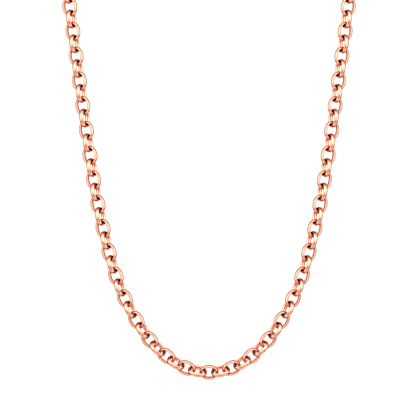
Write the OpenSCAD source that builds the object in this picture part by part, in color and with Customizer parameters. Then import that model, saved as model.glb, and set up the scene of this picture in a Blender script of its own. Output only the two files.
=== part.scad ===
// Rolo chain necklace in the form that it takes when it is worn: a U in front, a rise over
// the shoulders and a half round behind the neck, closed by a plain claw clasp at the nape.
// Millimetres, Z up, the viewer in front on the -Y side. The origin is at the nape, on the
// side of the clasp that bears on the neck.

/* [Necklace] */
// Length of the closed loop along its middle line, clasp included
chain_len = 610; // [560:2:700]
// Rise of the arc behind the neck, in degrees above level
nape_tilt = 25; // [15:1:40]

/* [Link] */
// Outer length of a link
link_len = 6.9; // [6.6:0.05:7.5]
// Outer width of a link
link_w = 5.45; // [5:0.05:6.2]
// Thickness of the band, from inside the link to outside
band_t = 1.05; // [0.8:0.05:1.2]
// Width of the band
band_w = 1.65; // [1.3:0.05:1.8]
// Thickness left at the band's two edges
edge_t = 0.25; // [0.1:0.05:0.4]
// Radius of the band's gently rounded inner side
belly_r = 1.2; // [1.1:0.05:1.6]

/* [Fit] */
// Play between the inner ends of two links that hang in each other, along the chain
hang_gap = 0.27; // [0.25:0.01:0.6]
// Turn of every second link from flat to the viewer, in degrees
face_turn = -16; // [-20:1:-14]
// Turn of the links between them, in degrees
edge_turn = 62; // [60:1:70]
// Further turn of those links at the bottom of the U, where they lie flatter, in degrees
low_turn = -8; // [-8:1:0]

/* [Clasp] */
// Radius of the claw's two round ends, to the middle of its wire
claw_r = 2.6; // [2.3:0.1:3.2]
// Length of the claw's straight arms
claw_reach = 3.4; // [2.6:0.1:5]
// Wire of the claw
claw_wire = 1.6; // [1.2:0.1:1.8]
// Radius of the tail eye, to the middle of its wire
eye_r = 2.4; // [2.2:0.1:2.8]
// Wire of the tail eye
eye_wire = 1.3; // [1:0.1:1.5]
// Diameter of the body between claw and eye
body_d = 3; // [2.4:0.1:3.6]
// Length of the body, from the middle of the claw's wire to the middle of the eye's
body_len = 3; // [2.7:0.1:5]
// Diameter of the thumb knob on the claw's arm
knob_d = 1.3; // [1:0.1:1.6]

/* [Hidden] */
rose_gold = [0.91, 0.66, 0.55];

// Front of the route, from the lowest link up one side. Columns: length as a share of half
// the loop, turn in degrees, spacing of the links as a share of the full pitch. Links on a
// tight bend sit closer together.
LENGTH = 0;
TURN = 1;
SPACING = 2;
FRONT = [
    [0.041, 32, 0.93],
    [0.051, 23, 0.93],
    [0.088, 19, 0.975],
    [0.114, 7.5, 0.99],
    [0.210, 1.5, 1]
];
// The bend over the shoulder, and the spacing of the links on it and on the half round behind
// the neck
shoulder_share = 0.1;
SHOULDER_SPACING = 0.93;
NAPE_SPACING = 0.94;

// The low turn holds over the lowest links and has faded out by a higher one
LOW_FROM = 5;
LOW_TO = 12;

// Section of the band: two arcs between its flat edges
belly_h = belly_r - sqrt(belly_r * belly_r - band_w * band_w / 4);
dome_h = band_t - belly_h - edge_t;
dome_r = (dome_h * dome_h + band_w * band_w / 4) / (2 * dome_h);

// Middle line of a link: two half rounds joined by two short straight sides
end_r = (link_w - band_t) / 2;
end_x = (link_len - link_w) / 2;

// Directions: towards the viewer, the start of the route, its axis of turn in front, and the
// arc behind the neck
VIEWER = [0, -1, 0];
START = [-1, 0, 0];
FRONT_AXIS = [0, 1, 0];
back = [0, cos(nape_tilt), sin(nape_tilt)];
back_axis = cross(back, [1, 0, 0]);

function unit(v) = v / norm(v);
function total(list, last) = last < 0 ? 0 : list[last] + total(list, last - 1);
// Vector v turned by an angle about the unit vector axis
function turned(v, axis, angle) =
    v * cos(angle) + cross(axis, v) * sin(angle) + axis * (axis * v) * (1 - cos(angle));

// A stretch of the route is [length, turn, axis of turn, spacing]. A place on it is
// [point, direction, side that faces the viewer in front].
function place_on(stretch, place, s) =
    let (angle = stretch[1] * s / stretch[0], axis = stretch[2], t = place[1])
    [
        abs(stretch[1]) < 0.01
            ? place[0] + t * s
            : place[0] + (t * sin(angle) + cross(axis, t) * (1 - cos(angle)))
                * stretch[0] * 180 / (PI * stretch[1]),
        turned(t, axis, angle),
        turned(place[2], axis, angle)
    ];
function place_after(stretches, last) =
    last < 0
        ? [[0, 0, 0], START, VIEWER]
        : place_on(stretches[last], place_after(stretches, last - 1), stretches[last][0]);

half_loop = chain_len / 2;
front = [for (row = FRONT) [row[LENGTH] * half_loop, row[TURN], FRONT_AXIS, row[SPACING]]];
front_dir = place_after(front, len(front) - 1)[1];
shoulder = [
    shoulder_share * half_loop,
    acos(front_dir * back),
    unit(cross(front_dir, back)),
    SHOULDER_SPACING
];
rise = concat(front, [shoulder]);
reach_x = -place_after(rise, len(rise) - 1)[0][0];
nape_len = reach_x * PI / 2;
rise_len = total([for (stretch = rise) stretch[0]], len(rise) - 1);
run_len = half_loop - rise_len - nape_len;
ROUTE = concat(rise, [
    [run_len, 0, back_axis, 1],
    [nape_len, 90, back_axis, NAPE_SPACING]
]);
STARTS = [for (i = [0:len(ROUTE) - 1]) place_after(ROUTE, i - 1)];
nape = place_after(ROUTE, len(ROUTE) - 1);

// Links are counted along the route in full pitches, so a stretch of closer spacing holds more
counts = [for (stretch = ROUTE) stretch[0] / stretch[3]];
counted = [for (i = [0:len(ROUTE)]) total(counts, i - 1)];
function place_at(count, i = 0) =
    i == len(ROUTE) - 1 || count < counted[i + 1]
        ? place_on(ROUTE[i], STARTS[i], (count - counted[i]) * ROUTE[i][3])
        : place_at(count, i + 1);

// Clasp, along its line from the centre of the claw's root end: the centre of the tail eye,
// the distance between the inner ends of claw and eye, the middle of that, and the distance
// from the middle to the centre of the last link on each side
eye_x = -claw_r - body_len - eye_r;
clasp_in = claw_reach + claw_r - claw_wire / 2 - (eye_x - eye_r + eye_wire / 2);
clasp_mid = claw_reach + claw_r - claw_wire / 2 - clasp_in / 2;
last_reach = clasp_in / 2 + link_len / 2 - band_t - hang_gap;

// The straight clasp spans a chord of the arc behind the neck, so it lies a little inside it
clasp_chord = clasp_in + claw_wire;
clasp_drop = reach_x - sqrt(reach_x * reach_x - clasp_chord * clasp_chord / 4);
clasp_at = nape[0] - back * clasp_drop;

full_pitch = link_len - 2 * band_t - hang_gap;
chain_count = counted[len(ROUTE)] - last_reach / NAPE_SPACING;
last_link = ceil(chain_count / full_pitch);
pitch = chain_count / last_link;

function low_share(k) = max(0, min(1, (LOW_TO - k) / (LOW_TO - LOW_FROM)));
function turn_at(k) = k % 2 == 0 ? face_turn : edge_turn + low_turn * low_share(k);

// Puts its children at a place of the route, X along the route and Z out of the link's plane
module at_place(place, turn) {
    x = place[1];
    z = turned(place[2], x, turn);
    y = cross(z, x);
    p = place[0] - clasp_at + back * body_d / 2;
    multmatrix([
        [x[0], y[0], z[0], p[0]],
        [x[1], y[1], z[1], p[1]],
        [x[2], y[2], z[2], p[2]]
    ])
        children();
}

module band_section() {
    intersection() {
        translate([belly_r - band_t / 2, 0])
            circle(r = belly_r, $fn = 96);
        translate([band_t / 2 - dome_r, 0])
            circle(r = dome_r, $fn = 96);
        square([2 * band_t, band_w], center = true);
    }
}

module link_end() {
    rotate_extrude(start = -90, angle = 180, $fn = 48)
        translate([end_r, 0])
            band_section();
}

module link_side() {
    rotate([90, 0, 90])
        linear_extrude(2 * end_x)
            band_section();
}

module link() {
    for (half = [0, 180], piece = [0, 1])
        rotate([0, 0, half])
            if (piece == 0)
                translate([end_x, 0, 0])
                    link_end();
            else
                translate([-end_x, end_r, 0])
                    link_side();
}

module half_chain(first_link) {
    for (k = [first_link:last_link])
        at_place(place_at(k * pitch), turn_at(k))
            link();
}

// Round bar along X
module bar(from_x, to_x, y, d) {
    translate([from_x, y, 0])
        rotate([0, 90, 0])
            cylinder(d = d, h = to_x - from_x, $fn = 48);
}

module claw_end() {
    rotate_extrude(start = -90, angle = 180, $fn = 48)
        translate([claw_r, 0])
            circle(d = claw_wire, $fn = 48);
}

module claw() {
    translate([claw_reach, 0, 0])
        claw_end();
    rotate([0, 0, 180])
        claw_end();
    for (side = [-1, 1])
        bar(0, claw_reach, side * claw_r, claw_wire);
    translate([claw_reach / 2, claw_r, 0])
        rotate([-90, 0, 0])
            cylinder(d = knob_d, h = claw_wire / 2 + knob_d / 2, $fn = 32);
}

module tail_eye() {
    translate([eye_x, 0, 0])
        rotate_extrude($fn = 48)
            translate([eye_r, 0])
                circle(d = eye_wire, $fn = 48);
}

// The body's round ends sink half way into the wires that it joins
module clasp_body() {
    claw_side = -claw_r + claw_wire / 4 - body_d / 2;
    eye_side = -claw_r - body_len - eye_wire / 4 + body_d / 2;
    bar(eye_side, claw_side, 0, body_d);
    for (x = [claw_side, eye_side])
        translate([x, 0, 0])
            sphere(d = body_d, $fn = 48);
}

module chain_left() {
    color(rose_gold)
        half_chain(0);
}

module chain_right() {
    color(rose_gold)
        mirror([1, 0, 0])
            half_chain(1);
}

// The clasp lies square to the last links: flat on the neck where they stand across it
module clasp() {
    flat_turn = last_link % 2 == 0 ? 90 : 0;
    color(rose_gold)
        at_place([clasp_at, [1, 0, 0], -back_axis], flat_turn)
            translate([-clasp_mid, 0, 0]) {
                claw();
                tail_eye();
                clasp_body();
            }
}

chain_left();
chain_right();
clasp();
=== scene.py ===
"""Rolo chain necklace in polished rose gold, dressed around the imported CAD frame.

Names that end in _MM, the route and the clasp's own drawing are in millimetres. What Blender is
given is in metres.
"""
import math

import bmesh
import bpy
from mathutils import Matrix, Vector


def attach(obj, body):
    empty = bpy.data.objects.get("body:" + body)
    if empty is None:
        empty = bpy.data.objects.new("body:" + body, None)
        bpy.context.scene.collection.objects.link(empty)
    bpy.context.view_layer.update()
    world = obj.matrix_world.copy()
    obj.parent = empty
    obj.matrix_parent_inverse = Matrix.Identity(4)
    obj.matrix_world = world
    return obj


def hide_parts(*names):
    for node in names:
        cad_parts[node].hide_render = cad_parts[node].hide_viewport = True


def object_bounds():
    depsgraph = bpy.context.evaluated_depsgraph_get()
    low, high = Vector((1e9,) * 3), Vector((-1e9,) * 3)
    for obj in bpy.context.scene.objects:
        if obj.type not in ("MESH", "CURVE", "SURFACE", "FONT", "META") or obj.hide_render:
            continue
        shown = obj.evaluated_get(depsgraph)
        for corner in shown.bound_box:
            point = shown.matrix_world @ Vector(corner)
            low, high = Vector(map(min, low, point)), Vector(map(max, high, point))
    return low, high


MM = 0.001

# Link: one closed ring of band wire, domed outside, gently bellied inside, with soft corners
LINK_LEN_MM = 6.9
LINK_W_MM = 5.45
BAND_T_MM = 1.05
BAND_W_MM = 1.65
EDGE_T_MM = 0.25
BELLY_R_MM = 1.2
SOFT_MM = 0.1

# How much further out than an ellipse the link's oval runs between its ends and its sides, as a
# share. It leaves the neighbour's band room at the ends.
FULLNESS = 0.03

# Steps round a link, from the middle of its dome to an edge, and from an edge to the middle of
# its belly. A soft corner has points at these shares of its way.
LINK_STEPS = 50
DOME_STEPS = 4
BELLY_STEPS = 3
CORNER_SHARES = (0.25, 0.5, 0.75)

# Turn of the links about the chain, in degrees: flat ones, edge ones, and how much flatter the
# edge ones lie at the bottom of the U. That holds up to the link LOW_FROM, counted from the
# lowest, and fades out by the link LOW_TO.
FACE_TURN = -16.0
EDGE_TURN = 62.0
LOW_TURN = -8.0
LOW_FROM = 5
LOW_TO = 12

# Most that a link is loosely turned about the chain, either way and in degrees, and the seed of
# each half
LOOSE_TURN = 0.4
LEFT_SEED = 3
RIGHT_SEED = 8

# Length of the worn loop, and the slack of a link in its neighbour
CHAIN_LEN_MM = 610.0
HANG_GAP_MM = 0.27

# Front of the loop's route, from the lowest link up one side. Columns: share of half the loop,
# turn in degrees, share of the full pitch.
FRONT = [
    (0.041, 32.0, 0.93),
    (0.051, 23.0, 0.93),
    (0.088, 19.0, 0.975),
    (0.114, 7.5, 0.99),
    (0.210, 1.5, 1.0),
]

# Bend over the shoulder, as a share of half the loop, and the rise from there to the nape, in
# degrees. Each spacing is a share of the full pitch.
SHOULDER_SHARE = 0.1
SHOULDER_SPACING = 0.93
NAPE_TILT = 25.0
NAPE_SPACING = 0.94

# A stretch of the route that turns by less than this, in degrees, is drawn straight
LEAST_TURN = 0.01

# Clasp: claw, barrel body and tail eye on one line
CLAW_R_MM = 2.6
CLAW_REACH_MM = 3.4
CLAW_WIRE_MM = 1.6
EYE_R_MM = 2.4
EYE_WIRE_MM = 1.3
BODY_D_MM = 3.0
BODY_LEN_MM = 3.0
KNOB_D_MM = 1.3

# Depth and half the width of the clasp's seams and turned lines. The lever's tip lies at a share
# of the claw's front arc, and a turned line at a share of the body's radius in from its end.
SEAM_MM = 0.12
TIP_SHARE = 0.2
LINE_SHARE = 0.75

# Forms of the thumb knob, from the middle of the wire outwards, and of the hinge pin, from end
# to end: share of the height, share of the radius
KNOB_FORM = [
    (0, 0),
    (0.02, 0.7),
    (0.6, 0.7),
    (0.66, 0.92),
    (0.76, 1),
    (0.9, 0.86),
    (0.98, 0.45),
    (1, 0),
]
PIN_FORM = [(-1, 0), (-0.97, 0.8), (-0.92, 1), (0.92, 1), (0.97, 0.8), (1, 0)]

# Steps along the claw, the body and the eye, and sides of their wire and of the barrel
CLAW_STEPS = 120
BODY_STEPS = 60
EYE_STEPS = 72
WIRE_SIDES = 24
BODY_SIDES = 40

# Points of the clasp that lie nearer than this become one
WELD_MM = 0.001

# Photograph: 416 pixels square, 0.3596 mm to a pixel at the front of the chain
FRAME_PX = 416
MM_PER_PX = 0.3596
LOWEST_LINK_PX = (209.0, 372.3)
LENS_MM = 300.0
SENSOR_MM = 36.0

# Rose gold: copper-rich and gold-rich patches of the alloy, the painted shade that darkens the
# narrow gaps between links, and the rosy tint that the copper keeps at a glancing angle
COPPER_RICH = "#CE9D8B"
GOLD_RICH = "#D4A591"
PAINTED_SHADE = "#2C0506"
EDGE_TINT = "#E8B0A0"

# Painted shade where links lie close: how near a neighbour has to be, and the share of open air
# about a spot below which the painted shade is whole and above which the metal is bright
PAINTED_SHADE_MM = 0.6
PAINTED_SHADE_RANGE = (0.4, 0.88)
PAINTED_SHADE_SAMPLES = 8

# Least and most roughness of the polish
POLISH = (0.05, 0.1)

# Size of the alloy's patches, of the cloudiness of the polish, and of the space between the
# hairlines. Real hairlines lie closer, and these are wide enough for some to show in the render.
PATCH_MM = 3.03
CLOUD_MM = 0.8
HAIRLINE_MM = 0.05

# Hairlines: drawn out along one way, lying askew, and how strong and deep they are
HAIRLINE_STRETCH = (1.0, 1.0, 0.08)
HAIRLINE_LEAN = (0.4, 0.3, 0.0)
HAIRLINE_STRENGTH = 0.05
HAIRLINE_DEPTH_MM = 0.01

# Radiance of the studio's dim surroundings in front and behind, and where the one fades into the
# other, on a scale from -1 straight in front to 1 straight behind
DIM_FRONT = 0.6
DIM_BEHIND = 0.3
DIM_FADE = (-0.3, 0.4)

# Soft boxes. Columns: turn from the camera's side, height, half the width of the full light and
# of its soft edge, all in degrees, and radiance.
SOFT_BOXES = (
    (0, 30, 15, 50, 1.8),
    (70, 5, 22, 42, 1.6),
    (45, -60, 15, 35, 1.4),
    (115, 55, 10, 40, 0.8),
    (155, -40, 12, 40, 0.9),
    (0, -40, 5, 25, 0.5),
    (85, -32, 5, 20, 0.5),
)

# Radiance of the backdrop, which the picture's look turns to plain white
BACKDROP = 0.62

# Floor, in metres: how far it is below the lowest link, and half its side. A larger or nearer
# one would hide the light from below.
FLOOR_DROP = 0.5
FLOOR_HALF = 0.4
FLOOR_COLOUR = "#F4F4F4"
FLOOR_ROUGHNESS = 0.9

# Settings that several nodes share
TIMES = {"operation": "MULTIPLY"}
COLOURS = {"data_type": "RGBA"}
SMOOTH_RISE = {"interpolation_type": "SMOOTHSTEP"}


# Small helpers
def linear(code):
    """sRGB hex colour as linear red, green, blue and alpha."""
    values = [int(code[i : i + 2], 16) / 255 for i in (1, 3, 5)]
    values = [v / 12.92 if v <= 0.04045 else ((v + 0.055) / 1.055) ** 2.4 for v in values]
    return (*values, 1.0)


def put(tree, kind, settings=None, **sockets):
    """Adds a node, sets its properties, and fills or links its input sockets by name or number.
    A node that is given for a socket stands for its first output."""
    made = tree.nodes.new(kind)
    for name, value in (settings or {}).items():
        setattr(made, name, value)
    for name, value in sockets.items():
        key = int(name[1:]) if name[0] == "i" and name[1:].isdigit() else name.replace("_", " ")
        socket = made.inputs[key]
        if isinstance(value, bpy.types.Node):
            value = value.outputs[0]
        if isinstance(value, bpy.types.NodeSocket):
            tree.links.new(value, socket)
        else:
            socket.default_value = value
    return made


def add_object(name, data):
    """New object in the scene, at the origin."""
    made = bpy.data.objects.new(name, data)
    bpy.context.scene.collection.objects.link(made)
    return made


def mesh_object(name, points, faces):
    """New object of a smooth-shaded mesh."""
    mesh = bpy.data.meshes.new(name)
    mesh.from_pydata([tuple(point) for point in points], [], faces)
    mesh.validate()
    for face in mesh.polygons:
        face.use_smooth = True
    return add_object(name, mesh)


# Route of the chain
def turned(vector, axis, degrees):
    """Vector turned about an axis."""
    return Matrix.Rotation(math.radians(degrees), 3, axis) @ vector


def place_on(stretch, place, distance):
    """Point, direction and viewer's side at a distance along a stretch."""
    length, turn, axis, _ = stretch
    point, ahead, side = place
    angle = turn * distance / length
    if abs(turn) < LEAST_TURN:
        point = point + ahead * distance
    else:
        bend = math.radians(angle)
        radius = length / math.radians(turn)
        along = ahead * math.sin(bend) + axis.cross(ahead) * (1 - math.cos(bend))
        point = point + along * radius
    return point, turned(ahead, axis, angle), turned(side, axis, angle)


half_loop = CHAIN_LEN_MM / 2
back = Vector((0, math.cos(math.radians(NAPE_TILT)), math.sin(math.radians(NAPE_TILT))))
back_axis = back.cross(Vector((1, 0, 0)))
route = []
starts = [(Vector((0, 0, 0)), Vector((-1, 0, 0)), Vector((0, -1, 0)))]


def go_on(length, turn, axis, spacing):
    """Adds a stretch to the end of the route."""
    route.append((length, turn, axis, spacing))
    starts.append(place_on(route[-1], starts[-1], length))


for share, turn, spacing in FRONT:
    go_on(share * half_loop, turn, Vector((0, 1, 0)), spacing)
front_dir = starts[-1][1]
go_on(
    SHOULDER_SHARE * half_loop,
    math.degrees(front_dir.angle(back)),
    front_dir.cross(back).normalized(),
    SHOULDER_SPACING,
)
reach_x = -starts[-1][0].x
rise_len = sum(stretch[0] for stretch in route)
nape_len = reach_x * math.pi / 2
go_on(half_loop - rise_len - nape_len, 0, back_axis, 1.0)
go_on(nape_len, 90, back_axis, NAPE_SPACING)
nape = starts[-1][0]

# The clasp spans a chord of the arc behind the neck, and the last links hang in its two ends
eye_x = -CLAW_R_MM - BODY_LEN_MM - EYE_R_MM
claw_inner = CLAW_REACH_MM + CLAW_R_MM - CLAW_WIRE_MM / 2
clasp_in = claw_inner - (eye_x - EYE_R_MM + EYE_WIRE_MM / 2)
clasp_mid = claw_inner - clasp_in / 2
last_reach = clasp_in / 2 + LINK_LEN_MM / 2 - BAND_T_MM - HANG_GAP_MM
clasp_chord = clasp_in + CLAW_WIRE_MM
clasp_at = nape - back * (reach_x - math.sqrt(reach_x**2 - clasp_chord**2 / 4))
shift = back * BODY_D_MM / 2 - clasp_at

# Links are counted along the route in full pitches, so a stretch of closer spacing holds more
counts = [length / spacing for length, _, _, spacing in route]
chain_count = sum(counts) - last_reach / NAPE_SPACING
last_link = math.ceil(chain_count / (LINK_LEN_MM - 2 * BAND_T_MM - HANG_GAP_MM))
pitch = chain_count / last_link


def place_at(count):
    """Place on the route after a count of full pitches."""
    for stretch, start, size in zip(route, starts, counts):
        if count < size or stretch is route[-1]:
            return place_on(stretch, start, count * stretch[3])
        count -= size


def axes_matrix(place, turn):
    """Matrix with X along the route and Z out of the link's plane, in metres."""
    point, x, side = place
    z = turned(side, x, turn)
    y = z.cross(x)
    made = Matrix((x, y, z)).transposed().to_4x4()
    made.translation = (point + shift) * MM
    return made


def link_places(first):
    """Matrix of each link from the first one up the viewer's left side to the clasp."""
    for k in range(first, last_link + 1):
        low = max(0.0, min(1.0, (LOW_TO - k) / (LOW_TO - LOW_FROM)))
        turn = FACE_TURN if k % 2 == 0 else EDGE_TURN + LOW_TURN * low
        yield axes_matrix(place_at(k * pitch), turn)


def mirrored(places):
    """The same places on the viewer's right. Z is turned round as well, which keeps the axes
    right-handed, and a link is the same from both sides."""
    flip = Matrix.Scale(-1, 4, (1, 0, 0))
    swap = Matrix.Scale(-1, 4, (0, 0, 1))
    return [flip @ place @ swap for place in places]


# Materials
def rose_gold():
    """Cast and drawn 14 carat rose gold, tumble polished: a mirror finish whose polish varies a
    little from place to place, with hairlines left by wear."""
    made = bpy.data.materials.new("rose_gold_polished")
    made.use_nodes = True
    tree = made.node_tree
    tree.nodes.clear()
    coords = put(tree, "ShaderNodeTexCoord").outputs["Object"]

    # Copper-rich and gold-rich patches of the alloy
    patches = put(tree, "ShaderNodeTexNoise", Vector=coords, Scale=1 / (PATCH_MM * MM), Detail=2.0)
    alloy = put(
        tree,
        "ShaderNodeMix",
        COLOURS,
        i0=patches.outputs["Fac"],
        i6=linear(COPPER_RICH),
        i7=linear(GOLD_RICH),
    )

    # Painted shade: the metal's colour goes to near black where links lie close to each other
    open_air = put(
        tree, "ShaderNodeAmbientOcclusion", {"samples": PAINTED_SHADE_SAMPLES}, Distance=PAINTED_SHADE_MM * MM
    )
    unshaded = put(
        tree,
        "ShaderNodeMapRange",
        SMOOTH_RISE,
        Value=open_air.outputs["AO"],
        From_Min=PAINTED_SHADE_RANGE[0],
        From_Max=PAINTED_SHADE_RANGE[1],
    )
    surface = put(
        tree, "ShaderNodeMix", COLOURS, i0=unshaded, i6=linear(PAINTED_SHADE), i7=alloy.outputs[2]
    )

    # Cloudiness of the polish
    cloud = put(tree, "ShaderNodeTexNoise", Vector=coords, Scale=1 / (CLOUD_MM * MM), Detail=3.0)
    polish = put(
        tree,
        "ShaderNodeMapRange",
        Value=cloud.outputs["Fac"],
        To_Min=POLISH[0],
        To_Max=POLISH[1],
    )

    # Hairlines
    stretched = put(
        tree,
        "ShaderNodeMapping",
        Vector=coords,
        Scale=HAIRLINE_STRETCH,
        Rotation=HAIRLINE_LEAN,
    )
    hairlines = put(
        tree, "ShaderNodeTexNoise", Vector=stretched, Scale=1 / (HAIRLINE_MM * MM), Detail=2.0
    )
    bump = put(
        tree,
        "ShaderNodeBump",
        Height=hairlines.outputs["Fac"],
        Strength=HAIRLINE_STRENGTH,
        Distance=HAIRLINE_DEPTH_MM * MM,
    )
    metal = put(
        tree,
        "ShaderNodeBsdfPrincipled",
        Base_Color=surface.outputs[2],
        Metallic=1.0,
        Specular_Tint=linear(EDGE_TINT),
        Roughness=polish,
        Normal=bump,
    )
    put(tree, "ShaderNodeOutputMaterial", Surface=metal)
    return made


def floor_paint():
    """Matt pale paint."""
    made = bpy.data.materials.new("floor_paint")
    made.use_nodes = True
    shader = made.node_tree.nodes["Principled BSDF"]
    shader.inputs["Base Color"].default_value = linear(FLOOR_COLOUR)
    shader.inputs["Roughness"].default_value = FLOOR_ROUGHNESS
    return made


# Links
def soft_corner(before, corner, after):
    """Points inside a rounded corner that starts at the first point and ends at the last."""
    made = []
    for t in CORNER_SHARES:
        shares = ((1 - t) ** 2, 2 * t * (1 - t), t * t)
        made.append(
            tuple(sum(s * p[i] for s, p in zip(shares, (before, corner, after))) for i in (0, 1))
        )
    return made


def band_section():
    """Closed outline of the band wire, in metres: dome outside at +X, belly inside at -X."""
    half_w = BAND_W_MM / 2
    belly_h = BELLY_R_MM - math.sqrt(BELLY_R_MM**2 - half_w**2)
    dome_h = BAND_T_MM - belly_h - EDGE_T_MM
    dome_r = (dome_h**2 + half_w**2) / (2 * dome_h)
    dome_x = BAND_T_MM / 2 - dome_r
    belly_x = BELLY_R_MM - BAND_T_MM / 2
    dome_span = math.asin(half_w / dome_r) - SOFT_MM / dome_r
    belly_span = math.asin(half_w / BELLY_R_MM) - SOFT_MM / BELLY_R_MM
    dome = []
    for i in range(DOME_STEPS + 1):
        a = dome_span * i / DOME_STEPS
        dome.append((dome_x + dome_r * math.cos(a), dome_r * math.sin(a)))
    belly = []
    for i in range(BELLY_STEPS + 1):
        a = belly_span * (1 - i / BELLY_STEPS)
        belly.append((belly_x - BELLY_R_MM * math.cos(a), BELLY_R_MM * math.sin(a)))
    outer = (BAND_T_MM / 2 - dome_h, half_w)
    inner = (belly_h - BAND_T_MM / 2, half_w)
    half = dome
    half += soft_corner(dome[-1], outer, (outer[0] - SOFT_MM, half_w))
    half += soft_corner((inner[0] + SOFT_MM, half_w), inner, belly[0])
    half += belly
    points = half + [(x, -y) for x, y in reversed(half[1:-1])]
    return [(x * MM, y * MM, 0.0) for x, y in points]


def section_object():
    """The band's outline as a closed curve, for the tree of the links to sweep."""
    curve = bpy.data.curves.new("band_section", "CURVE")
    outline = curve.splines.new("POLY")
    points = band_section()
    outline.points.add(len(points) - 1)
    for item, place in zip(outline.points, points):
        item.co = (*place, 1.0)
    outline.use_cyclic_u = True
    return add_object("band_section", curve)


def link_tree(material):
    """Geometry Nodes tree: an oval ring of band wire on every point, turned as the point says."""
    tree = bpy.data.node_groups.new("rolo_links", "GeometryNodeTree")
    inputs = {
        "Points": "Geometry",
        "Link length": "Float",
        "Link width": "Float",
        "Band thickness": "Float",
        "Fullness": "Float",
        "Loose turn": "Float",
        "Steps": "Int",
        "Section": "Object",
        "Seed": "Int",
    }
    for name, kind in inputs.items():
        tree.interface.new_socket(name, in_out="INPUT", socket_type="NodeSocket" + kind)
    tree.interface.new_socket("Links", in_out="OUTPUT", socket_type="NodeSocketGeometry")
    given = put(tree, "NodeGroupInput").outputs

    def half_less_band(size):
        """Half a size of the link, taken at the middle line of its band."""
        less = put(
            tree, "ShaderNodeMath", {"operation": "SUBTRACT"}, i0=size, i1=given["Band thickness"]
        )
        return put(tree, "ShaderNodeMath", TIMES, i0=less, i1=0.5)

    ring = put(
        tree,
        "GeometryNodeCurvePrimitiveCircle",
        {"mode": "RADIUS"},
        Resolution=given["Steps"],
        Radius=1.0,
    )

    # The ring still has a radius of 1 here, so 4 times (X times Y) squared is 0 at its ends and
    # sides and 1 half way between them
    spot = put(tree, "GeometryNodeInputPosition")
    parts = put(tree, "ShaderNodeSeparateXYZ", Vector=spot).outputs
    corner = put(tree, "ShaderNodeMath", TIMES, i0=parts["X"], i1=parts["Y"])
    between = put(tree, "ShaderNodeMath", TIMES, i0=corner, i1=corner)
    most = put(tree, "ShaderNodeMath", TIMES, i0=given["Fullness"], i1=4.0)
    growth = put(
        tree, "ShaderNodeMath", {"operation": "MULTIPLY_ADD"}, i0=between, i1=most, i2=1.0
    )
    outwards = put(tree, "ShaderNodeVectorMath", {"operation": "SCALE"}, i0=spot, Scale=growth)
    full_ring = put(tree, "GeometryNodeSetPosition", Geometry=ring, Position=outwards)

    # Middle line of the band, and the band along it
    size = put(
        tree,
        "ShaderNodeCombineXYZ",
        X=half_less_band(given["Link length"]),
        Y=half_less_band(given["Link width"]),
        Z=1.0,
    )
    oval = put(tree, "GeometryNodeTransform", Geometry=full_ring, Scale=size)
    upright = put(tree, "GeometryNodeSetCurveNormal", {"mode": "Z_UP"}, Curve=oval)
    section = put(tree, "GeometryNodeObjectInfo", Object=given["Section"])
    band = put(
        tree,
        "GeometryNodeCurveToMesh",
        Curve=upright,
        Profile_Curve=section.outputs["Geometry"],
    )
    smooth = put(tree, "GeometryNodeSetShadeSmooth", Geometry=band)

    # Turn of each link: the point's own, and a little loose turn about the chain
    facing = put(
        tree, "GeometryNodeInputNamedAttribute", {"data_type": "QUATERNION"}, Name="link_turn"
    )
    least = put(tree, "ShaderNodeMath", TIMES, i0=given["Loose turn"], i1=-1.0)
    loose = put(
        tree,
        "FunctionNodeRandomValue",
        {"data_type": "FLOAT"},
        i2=least,
        i3=given["Loose turn"],
        Seed=given["Seed"],
    )
    spin = put(tree, "ShaderNodeCombineXYZ", X=loose.outputs[1])
    final_turn = put(
        tree,
        "FunctionNodeRotateRotation",
        {"rotation_space": "LOCAL"},
        Rotation=facing,
        Rotate_By=put(tree, "FunctionNodeEulerToRotation", Euler=spin),
    )
    placed = put(
        tree,
        "GeometryNodeInstanceOnPoints",
        Points=given["Points"],
        Instance=smooth,
        Rotation=final_turn,
    )
    real = put(tree, "GeometryNodeRealizeInstances", Geometry=placed)
    finished = put(tree, "GeometryNodeSetMaterial", Geometry=real, Material=material)
    put(tree, "NodeGroupOutput", Links=finished)
    return tree


def set_inputs(modifier, **values):
    """Sets a Geometry Nodes modifier's inputs, found by name and set by identifier."""
    for item in modifier.node_group.interface.items_tree:
        key = item.name.replace(" ", "_")
        if item.in_out == "INPUT" and key in values:
            modifier[item.identifier] = values[key]


def chain_half(name, places, tree, section, seed):
    """All links of one half of the chain, as one plain mesh."""
    host = mesh_object(name + "_points", [place.translation for place in places], [])
    turns = host.data.attributes.new("link_turn", "QUATERNION", "POINT")
    for item, place in zip(turns.data, places):
        item.value = place.to_quaternion()
    modifier = host.modifiers.new("rolo_links", "NODES")
    modifier.node_group = tree
    set_inputs(
        modifier,
        Link_length=LINK_LEN_MM * MM,
        Link_width=LINK_W_MM * MM,
        Band_thickness=BAND_T_MM * MM,
        Fullness=FULLNESS,
        Loose_turn=math.radians(LOOSE_TURN),
        Steps=LINK_STEPS,
        Section=section,
        Seed=seed,
    )
    graph = bpy.context.evaluated_depsgraph_get()
    mesh = bpy.data.meshes.new_from_object(host.evaluated_get(graph), depsgraph=graph)
    bpy.data.objects.remove(host)
    mesh.name = name
    return add_object(name, mesh)


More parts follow.
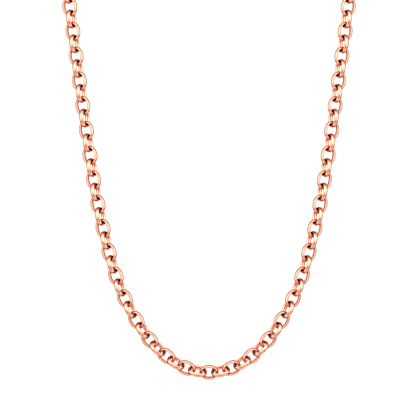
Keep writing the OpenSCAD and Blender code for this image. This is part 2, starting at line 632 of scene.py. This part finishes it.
# Clasp, drawn in millimetres with X along the chain and Z out of the claw's plane
def tube(path, radii, up, closed=False, sides=WIRE_SIDES):
    """Points and faces of a round wire along a path that lies square to the direction up."""
    points = []
    count = len(path)
    for i, (place, radius) in enumerate(zip(path, radii)):
        before = path[i - 1] if closed else path[max(i - 1, 0)]
        after = path[(i + 1) % count] if closed else path[min(i + 1, count - 1)]
        across = up.cross(after - before).normalized()
        for j in range(sides):
            a = 2 * math.pi * j / sides
            points.append(place + (across * math.cos(a) + up * math.sin(a)) * radius)
    faces = []
    for i in range(count if closed else count - 1):
        here = i * sides
        ahead = (i + 1) % count * sides
        for j in range(sides):
            k = (j + 1) % sides
            faces.append((here + j, ahead + j, ahead + k, here + k))
    return points, faces


def claw_loop():
    """Claw and lever: one loop of wire, with a fine seam at the lever's hinge and at its tip."""
    arc = CLAW_R_MM * math.pi
    around = 2 * (arc + CLAW_REACH_MM)
    hinge = arc + CLAW_REACH_MM
    tip = arc * TIP_SHARE
    samples = [around * i / CLAW_STEPS for i in range(CLAW_STEPS)]
    samples += [seam + side * SEAM_MM for seam in (hinge, tip) for side in (-1, 0, 1)]
    path = []
    radii = []
    for s in sorted(samples):
        if s < arc:
            a = s / CLAW_R_MM - math.pi / 2
            centre = CLAW_REACH_MM
            place = (math.cos(a), math.sin(a))
        elif s < hinge:
            centre = CLAW_REACH_MM - (s - arc)
            place = (0, 1)
        elif s < hinge + arc:
            a = (s - hinge) / CLAW_R_MM + math.pi / 2
            centre = 0
            place = (math.cos(a), math.sin(a))
        else:
            centre = s - hinge - arc
            place = (0, -1)
        path.append(Vector((centre + place[0] * CLAW_R_MM, place[1] * CLAW_R_MM, 0)))
        nearest = min(abs(s - hinge), abs(s - tip))
        radii.append(CLAW_WIRE_MM / 2 - SEAM_MM * max(0, 1 - nearest / SEAM_MM))
    return tube(path, radii, Vector((0, 0, 1)), closed=True)


def clasp_body():
    """Barrel between claw and eye, with a turned line near each end."""
    radius = BODY_D_MM / 2
    claw_end = -CLAW_R_MM + CLAW_WIRE_MM / 4
    eye_end = -CLAW_R_MM - BODY_LEN_MM - EYE_WIRE_MM / 4
    lines = (claw_end - LINE_SHARE * radius, eye_end + LINE_SHARE * radius)
    path = []
    radii = []
    for i in range(BODY_STEPS + 1):
        # Steps gather at the round ends
        x = eye_end + (claw_end - eye_end) * (1 - math.cos(math.pi * i / BODY_STEPS)) / 2
        to_end = min(x - eye_end, claw_end - x, radius)
        cut = max(0, 1 - min(abs(x - line) for line in lines) / SEAM_MM)
        path.append(Vector((x, 0, 0)))
        radii.append(math.sqrt(to_end * (2 * radius - to_end)) - SEAM_MM * cut)
    return tube(path, radii, Vector((0, 0, 1)), sides=BODY_SIDES)


def tail_eye():
    """Closed ring of wire for the last link of the other side."""
    ring = [2 * math.pi * i / EYE_STEPS for i in range(EYE_STEPS)]
    path = [Vector((eye_x + EYE_R_MM * math.cos(a), EYE_R_MM * math.sin(a), 0)) for a in ring]
    return tube(path, [EYE_WIRE_MM / 2] * EYE_STEPS, Vector((0, 0, 1)), closed=True)


def thumb_knob():
    """Knob that opens the lever, on the outer side of its arm."""
    height = CLAW_WIRE_MM / 2 + KNOB_D_MM / 2
    path = [Vector((CLAW_REACH_MM / 2, CLAW_R_MM + height * share, 0)) for share, _ in KNOB_FORM]
    return tube(path, [size * KNOB_D_MM / 2 for _, size in KNOB_FORM], Vector((0, 0, 1)))


def hinge_pin():
    """Pin through the lever's hinge, its heads just proud of the wire."""
    height = CLAW_WIRE_MM / 2 + SEAM_MM / 2
    path = [Vector((0, CLAW_R_MM, height * share)) for share, _ in PIN_FORM]
    return tube(path, [size * CLAW_WIRE_MM / 4 for _, size in PIN_FORM], Vector((1, 0, 0)))


def dressed_clasp(material):
    """The clasp's five forms as one mesh, turned across the last links, with its poles closed
    and its faces outwards."""
    flat_turn = 90 if last_link % 2 == 0 else 0
    place = axes_matrix((clasp_at, Vector((1, 0, 0)), -back_axis), flat_turn)
    middle = Vector((clasp_mid, 0, 0))
    points = []
    faces = []
    for draw in (claw_loop, clasp_body, tail_eye, thumb_knob, hinge_pin):
        part_points, part_faces = draw()
        faces += [tuple(len(points) + i for i in face) for face in part_faces]
        points += [place @ ((point - middle) * MM) for point in part_points]
    made = mesh_object("clasp_dressed", points, faces)
    joined = bmesh.new()
    joined.from_mesh(made.data)
    bmesh.ops.remove_doubles(joined, verts=joined.verts, dist=WELD_MM * MM)
    bmesh.ops.recalc_face_normals(joined, faces=joined.faces)
    joined.to_mesh(made.data)
    joined.free()
    made.data.materials.append(material)
    return made


# Studio
def photo_camera(lowest):
    """Level camera in front, with the lowest link where the photograph has it."""
    px_x, px_y = LOWEST_LINK_PX
    centre_x = (FRAME_PX / 2 - px_x) * MM_PER_PX * MM
    centre_z = lowest.z + (px_y - FRAME_PX / 2) * MM_PER_PX * MM
    distance = FRAME_PX * MM_PER_PX * MM * LENS_MM / SENSOR_MM
    lens = bpy.data.cameras.new("camera")
    lens.lens = LENS_MM
    lens.sensor_width = SENSOR_MM
    made = add_object("camera", lens)
    made.location = (centre_x, lowest.y - distance, centre_z)
    made.rotation_euler = (math.radians(90), 0, 0)
    return made


def soft_box(tree, way, light, turn, height, core, spread, level):
    """The light so far with one more box in it, for a ray that leaves along the given way."""
    turn = math.radians(turn)
    height = math.radians(height)
    aim = (
        math.sin(turn) * math.cos(height),
        -math.cos(turn) * math.cos(height),
        math.sin(height),
    )
    near = put(tree, "ShaderNodeVectorMath", {"operation": "DOT_PRODUCT"}, i0=way, i1=aim)
    share = put(
        tree,
        "ShaderNodeMapRange",
        SMOOTH_RISE,
        Value=near.outputs["Value"],
        From_Min=math.cos(math.radians(spread)),
        From_Max=math.cos(math.radians(core)),
    )
    return put(tree, "ShaderNodeMix", i0=share, i2=light, i3=level)


def studio_world():
    """Dim light from all round with soft boxes in it. A box counts for left and right alike. The
    backdrop that the camera sees is plain white."""
    made = bpy.data.worlds.new("studio")
    made.use_nodes = True
    tree = made.node_tree
    tree.nodes.clear()
    coords = put(tree, "ShaderNodeTexCoord").outputs["Generated"]
    parts = put(tree, "ShaderNodeSeparateXYZ", Vector=coords).outputs
    right = put(tree, "ShaderNodeMath", {"operation": "ABSOLUTE"}, i0=parts["X"])
    way = put(tree, "ShaderNodeCombineXYZ", X=right, Y=parts["Y"], Z=parts["Z"])
    behind = put(
        tree,
        "ShaderNodeMapRange",
        Value=parts["Y"],
        From_Min=DIM_FADE[0],
        From_Max=DIM_FADE[1],
    )
    light = put(tree, "ShaderNodeMix", i0=behind, i2=DIM_FRONT, i3=DIM_BEHIND)
    for box in SOFT_BOXES:
        light = soft_box(tree, way, light, *box)
    camera_ray = put(tree, "ShaderNodeLightPath").outputs["Is Camera Ray"]
    seen = put(tree, "ShaderNodeMix", i0=camera_ray, i2=light, i3=BACKDROP)
    shine = put(tree, "ShaderNodeBackground", Color=(1, 1, 1, 1), Strength=seen)
    put(tree, "ShaderNodeOutputWorld", Surface=shine)
    return made


# The scene
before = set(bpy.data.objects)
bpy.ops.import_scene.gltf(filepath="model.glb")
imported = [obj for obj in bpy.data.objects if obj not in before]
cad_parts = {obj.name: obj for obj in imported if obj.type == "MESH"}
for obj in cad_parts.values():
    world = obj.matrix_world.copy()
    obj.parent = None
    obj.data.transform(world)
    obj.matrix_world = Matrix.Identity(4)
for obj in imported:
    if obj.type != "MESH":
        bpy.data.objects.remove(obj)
cad_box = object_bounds()

scene = bpy.context.scene
scene.view_settings.view_transform = "Standard"
scene.view_settings.look = "Very High Contrast"
scene.camera = photo_camera(axes_matrix(place_at(0), 0).translation)
scene.world = studio_world()

polished = rose_gold()
links = link_tree(polished)
section = section_object()
left = chain_half("links_left", list(link_places(0)), links, section, LEFT_SEED)
right = chain_half("links_right", mirrored(link_places(1)), links, section, RIGHT_SEED)
bpy.data.objects.remove(section)
closed = dressed_clasp(polished)
for piece, node in ((left, "chain_left"), (right, "chain_right"), (closed, "clasp")):
    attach(piece, "root")
    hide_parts(node)

floor_z = cad_box[0].z - FLOOR_DROP
floor = mesh_object(
    "floor",
    [(x * FLOOR_HALF, y * FLOOR_HALF, floor_z) for x, y in ((-1, -1), (1, -1), (1, 1), (-1, 1))],
    [(0, 1, 2, 3)],
)
floor.data.materials.append(floor_paint())
